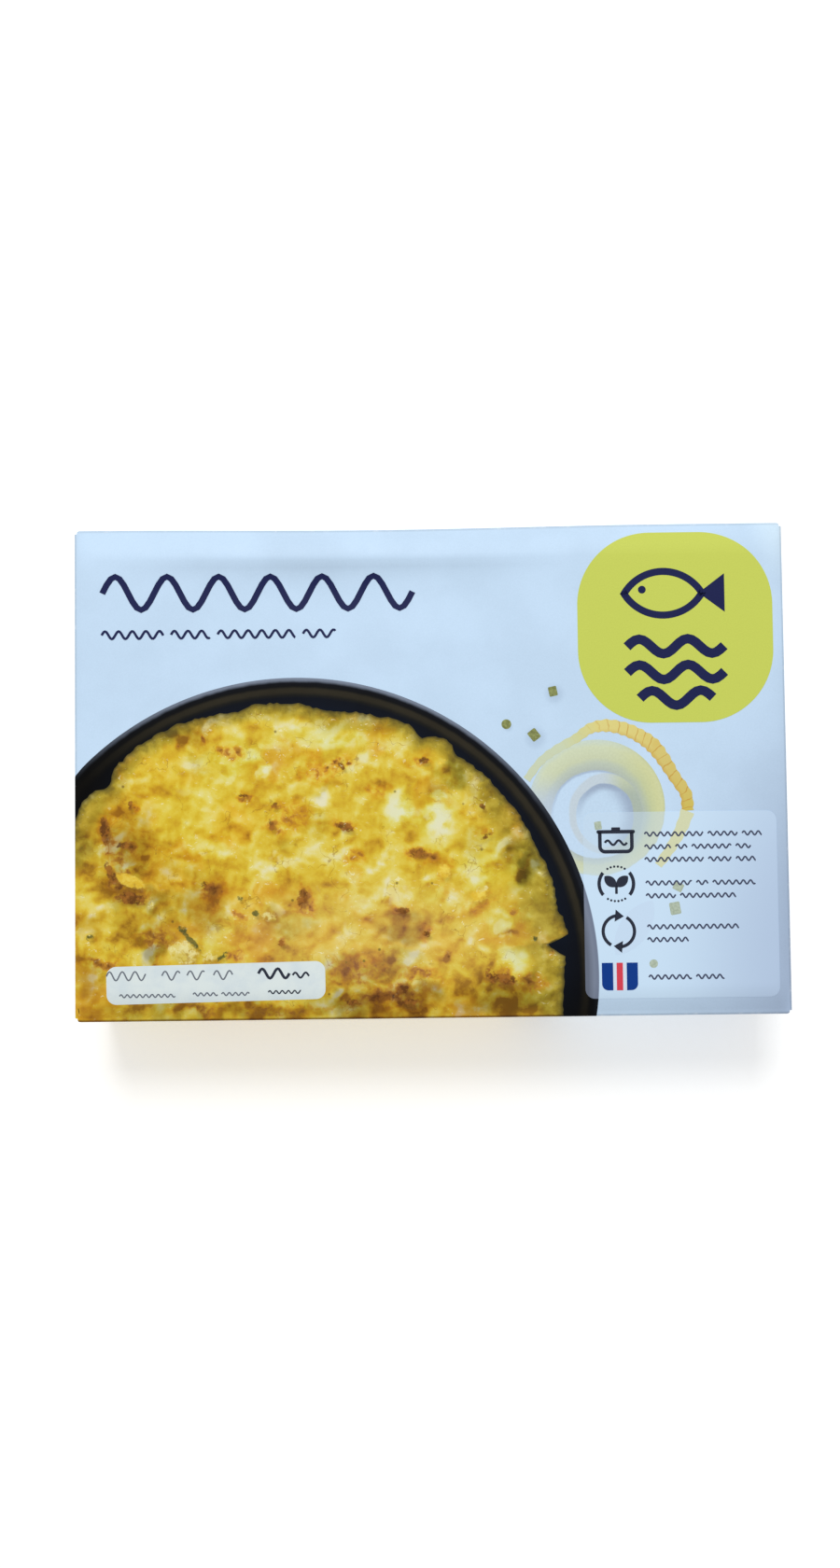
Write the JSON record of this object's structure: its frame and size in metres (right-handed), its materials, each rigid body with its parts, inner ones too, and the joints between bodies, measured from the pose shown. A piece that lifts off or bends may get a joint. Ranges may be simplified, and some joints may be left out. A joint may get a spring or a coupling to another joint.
{
  "type": "ready meal carton",
  "caption": "Shut flat paperboard carton for a chilled ready meal, with glued end flaps and a printed front showing a dark round dish of golden gratin.",
  "frame": {"origin": "under the middle of the back panel, on the surface that the carton lies on", "axes": "+Z out of the printed front panel, +X to the right of the front panel, +Y to its top"},
  "size_m": [0.22, 0.152, 0.036],
  "materials": {
    "board": "coated paperboard printed pale blue, soft sheen",
    "dish_print": "near-black ink under the same soft coating",
    "gratin_print": "golden, cream and toasted brown inks in soft patches",
    "lime_print": "flat lime-yellow ink",
    "navy_print": "flat dark navy ink",
    "pale_print": "flat off-white and pale blue inks",
    "garnish_print": "pale yellow, orange and green inks"
  },
  "bodies": {
    "root": {"carton": "board"}
  },
  "joints": []
}
